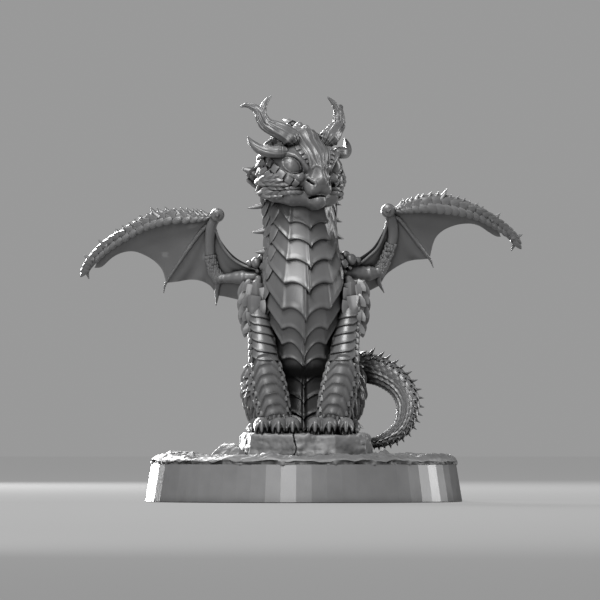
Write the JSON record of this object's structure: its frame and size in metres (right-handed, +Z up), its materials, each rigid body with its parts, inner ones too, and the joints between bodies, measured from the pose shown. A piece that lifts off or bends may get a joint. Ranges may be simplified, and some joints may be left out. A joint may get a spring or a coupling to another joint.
{
  "type": "dragon miniature",
  "caption": "Tabletop gaming miniature of a young horned dragon sitting upright on a stepped rock, wings half open, on a round display base.",
  "frame": {"origin": "centre of the flat underside of the round base", "axes": "+Z up; the dragon faces -Y; +X is the dragon's own left, on the right as it is seen from the front"},
  "size_m": [0.0684, 0.05, 0.064],
  "materials": {
    "resin": "satin grey casting resin, unpainted",
    "stone": "the same satin grey resin, cast as rough stone",
    "plinth": "the same grey resin, turned smooth",
    "brass": "plain drawn rod"
  },
  "bodies": {
    "root": {"base_rim": "plinth", "ground": "stone", "rock_slab_right": "stone", "rock_slab_left": "stone", "ledge_right": "stone", "ledge_left": "stone", "torso": "resin", "head": "resin", "tail": "resin", "horn_right": "resin", "brow_horn_right": "resin", "foreleg_right": "resin", "haunch_right": "resin", "wing_right": "resin", "horn_left": "resin", "brow_horn_left": "resin", "foreleg_left": "resin", "haunch_left": "resin", "wing_left": "resin", "neck_pin": "brass", "seat_pin": "brass", "tail_pin": "brass", "foreleg_pin_right": "brass", "haunch_pin_right": "brass", "paw_pin_right": "brass", "wing_pin_right": "brass", "foreleg_pin_left": "brass", "haunch_pin_left": "brass", "paw_pin_left": "brass", "wing_pin_left": "brass"}
  },
  "joints": []
}
